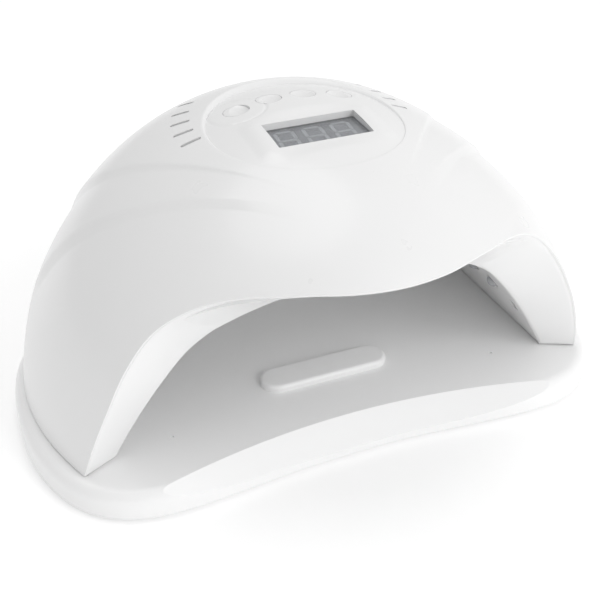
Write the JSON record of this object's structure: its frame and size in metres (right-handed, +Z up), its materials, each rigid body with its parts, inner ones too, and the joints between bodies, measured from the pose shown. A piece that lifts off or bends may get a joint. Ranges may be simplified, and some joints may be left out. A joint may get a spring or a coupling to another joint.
{
  "type": "nail lamp",
  "caption": "Domed table-top curing lamp for gel nails: arched hand space lined with lamp strips, display and timer buttons on top, lifts off a magnetic tray.",
  "frame": {"origin": "middle of the overall box, at table height, under the rubber feet", "axes": "+Z up; the hand goes in from -Y, where the visor overhangs; +X is to the right of someone facing the mouth"},
  "size_m": [0.2408, 0.1852, 0.1157],
  "materials": {
    "tray_white": "satin moulded plastic",
    "housing_white": "glossy moulded plastic",
    "liner_white": "satin moulded plastic",
    "button_white": "glossy moulded plastic",
    "rubber_grey": "matt",
    "magnet_plate": "nickel plated",
    "screw_steel": "zinc plated",
    "window_clear": "clear, polished",
    "display_grey": "matt filled face",
    "segment_pale": "translucent unlit strokes",
    "board_green": "solder mask",
    "switch_black": "matt",
    "chip_black": "matt",
    "socket_cream": "matt",
    "inductor_copper": "enamelled copper",
    "capacitor_sleeve": "sleeved",
    "heatsink_aluminium": "extruded",
    "ir_dark": "dark infrared filter",
    "inlet_black": "matt",
    "pin_nickel": "nickel plated",
    "wire_red": "insulation",
    "wire_grey": "insulation",
    "strip_white": "white solder mask",
    "lens_clear": "clear moulded lens"
  },
  "bodies": {
    "tray": {"base_tray": "tray_white", "tray_plate": "tray_white", "rubber_feet": "rubber_grey", "tray_magnets": "magnet_plate"},
    "button_1": {"button_cap_1": "button_white", "switch_plunger_1": "switch_black"},
    "button_2": {"button_cap_2": "button_white", "switch_plunger_2": "switch_black"},
    "button_3": {"button_cap_3": "button_white", "switch_plunger_3": "switch_black"},
    "button_4": {"button_cap_4": "button_white", "switch_plunger_4": "switch_black"},
    "lamp_body": {"upper_shell": "housing_white", "inner_shell": "liner_white", "body_magnets": "magnet_plate", "case_screws": "screw_steel", "display_window": "window_clear", "display_module": "display_grey", "display_segments": "segment_pale", "control_board": "board_green", "board_screws": "screw_steel", "tact_switches": "switch_black", "control_chip": "chip_black", "control_sockets": "socket_cream", "driver_board": "board_green", "driver_screws": "screw_steel", "driver_inductors": "inductor_copper", "driver_capacitors": "capacitor_sleeve", "driver_heatsink": "heatsink_aluminium", "driver_transistors": "chip_black", "driver_sockets": "socket_cream", "strip_screws": "screw_steel", "ir_windows": "ir_dark", "ir_emitter": "board_green", "ir_receiver": "board_green", "dc_inlet": "inlet_black", "dc_inlet_pin": "pin_nickel", "inlet_leads": "wire_red", "control_leads": "wire_grey", "strip_links": "wire_grey", "strip_feed": "wire_red", "ir_leads": "wire_grey", "led_strip_1": "strip_white", "led_strip_2": "strip_white", "led_strip_3": "strip_white", "led_strip_4": "strip_white", "led_strip_5": "strip_white", "led_strip_6": "strip_white", "led_strip_7": "strip_white", "led_strip_8": "strip_white", "led_strip_9": "strip_white", "led_beads_1": "lens_clear", "led_beads_2": "lens_clear", "led_beads_3": "lens_clear", "led_beads_4": "lens_clear", "led_beads_5": "lens_clear", "led_beads_6": "lens_clear", "led_beads_7": "lens_clear", "led_beads_8": "lens_clear", "led_beads_9": "lens_clear"}
  },
  "joints": [
    {"name": "body_lift", "type": "slide", "parent": "tray", "child": "lamp_body", "axis": [0, 0, 1], "range_m": [0, 0.08]},
    {"name": "button_1_press", "type": "slide", "parent": "lamp_body", "child": "button_1", "axis": [0, 0, -1], "range_m": [0, 0.0006], "stiffness_N_per_m": 900},
    {"name": "button_2_press", "type": "slide", "parent": "lamp_body", "child": "button_2", "axis": [0, 0, -1], "range_m": [0, 0.0006], "stiffness_N_per_m": 900},
    {"name": "button_3_press", "type": "slide", "parent": "lamp_body", "child": "button_3", "axis": [0, 0, -1], "range_m": [0, 0.0006], "stiffness_N_per_m": 900},
    {"name": "button_4_press", "type": "slide", "parent": "lamp_body", "child": "button_4", "axis": [0, 0, -1], "range_m": [0, 0.0006], "stiffness_N_per_m": 900}
  ]
}
